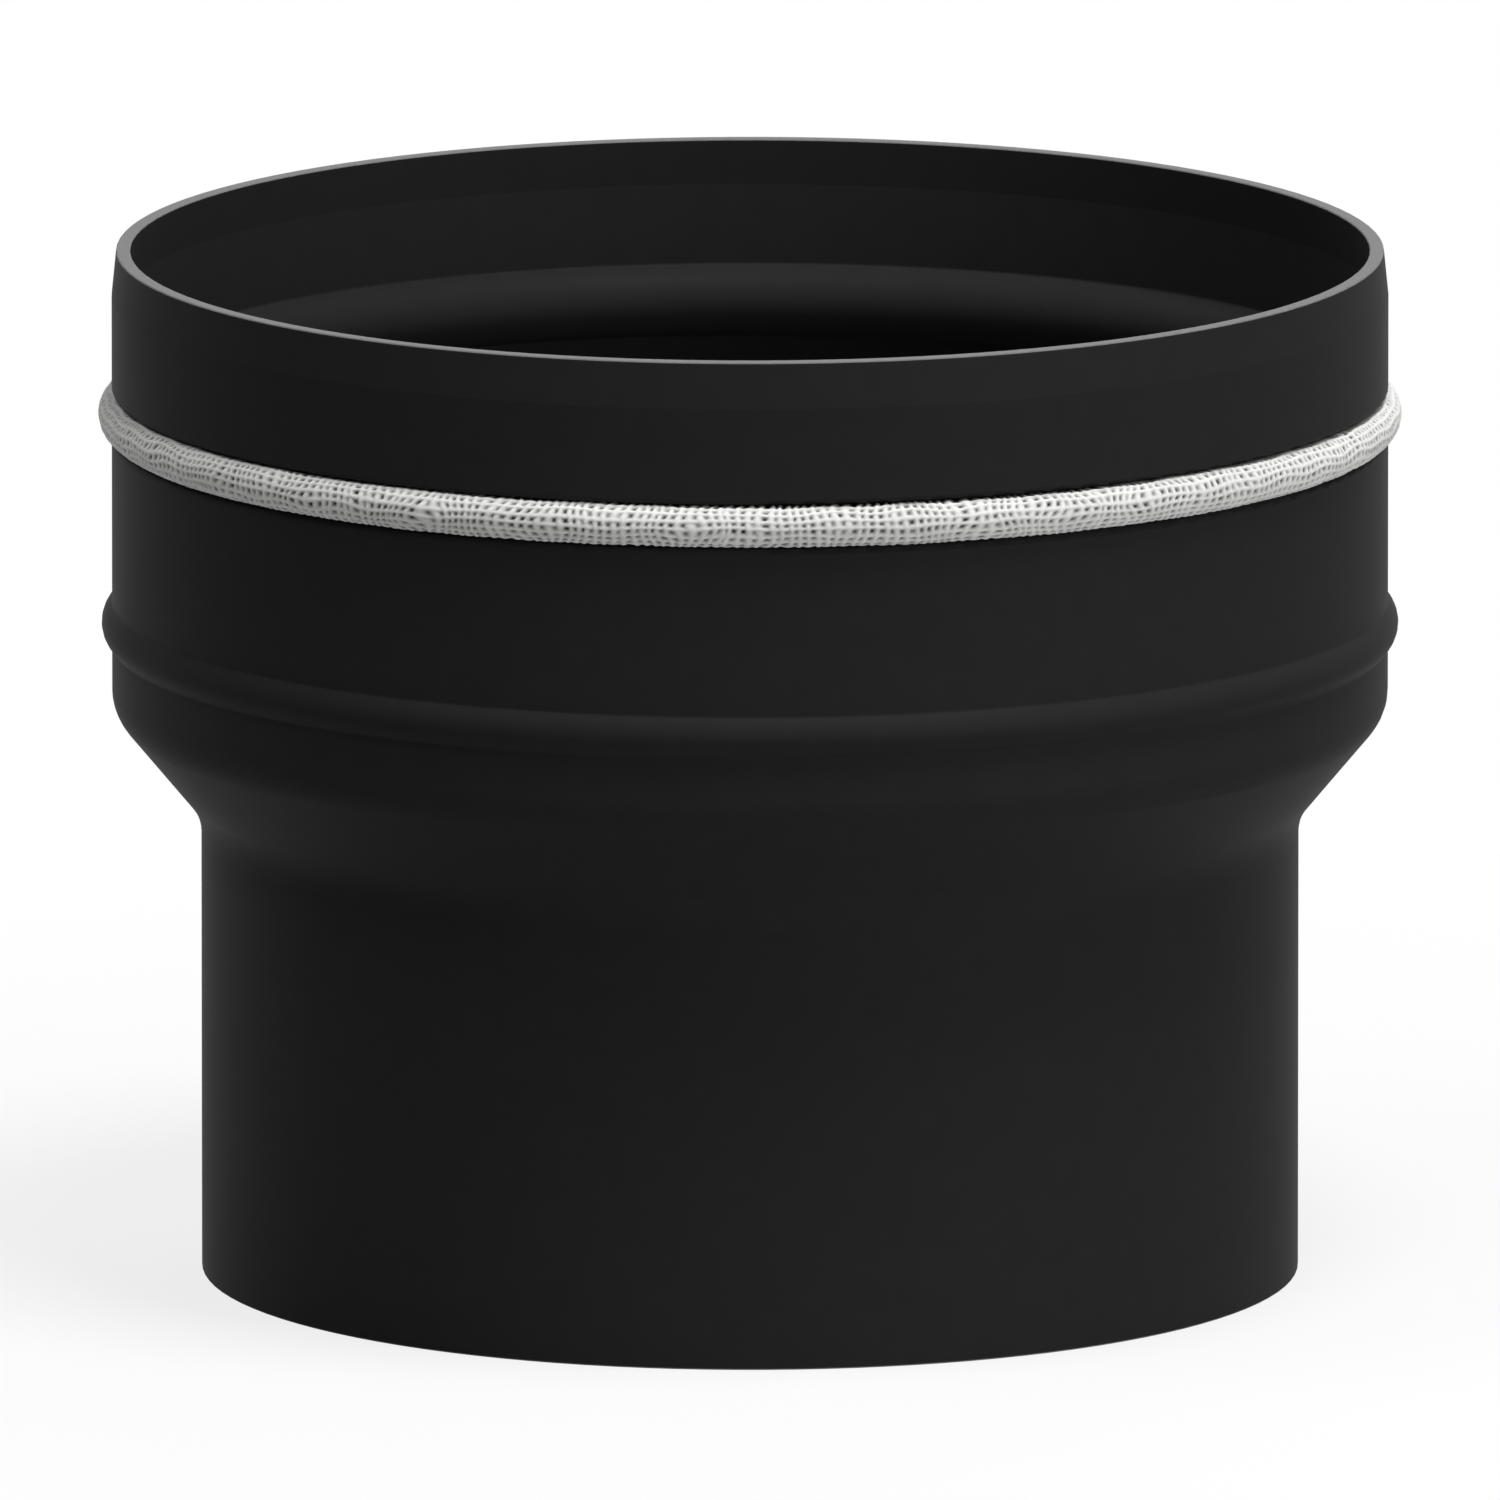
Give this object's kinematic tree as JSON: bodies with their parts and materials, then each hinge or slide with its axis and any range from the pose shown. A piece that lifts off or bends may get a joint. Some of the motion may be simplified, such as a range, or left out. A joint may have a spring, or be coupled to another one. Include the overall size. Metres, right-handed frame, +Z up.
{
  "type": "stove pipe increaser",
  "caption": "Short black steel flue fitting that widens through a cone from a narrow socket to a wide spigot with a stop bead, a woven sealing rope in a rolled groove and a drawn-in lip.",
  "frame": {"origin": "on the pipe's axis, in the plane of the lower cut end that it stands on", "axes": "+Z up along the pipe's axis, from the narrow socket to the wide spigot; X and Y are free, the part is round"},
  "size_m": [0.1827, 0.1828, 0.145],
  "materials": {
    "black_stove_paint": "matt heat-resistant paint on sheet steel",
    "glass_fibre_rope": "woven glass fibre"
  },
  "bodies": {
    "root": {"pipe_body": "black_stove_paint", "sealing_rope": "glass_fibre_rope"}
  },
  "joints": []
}
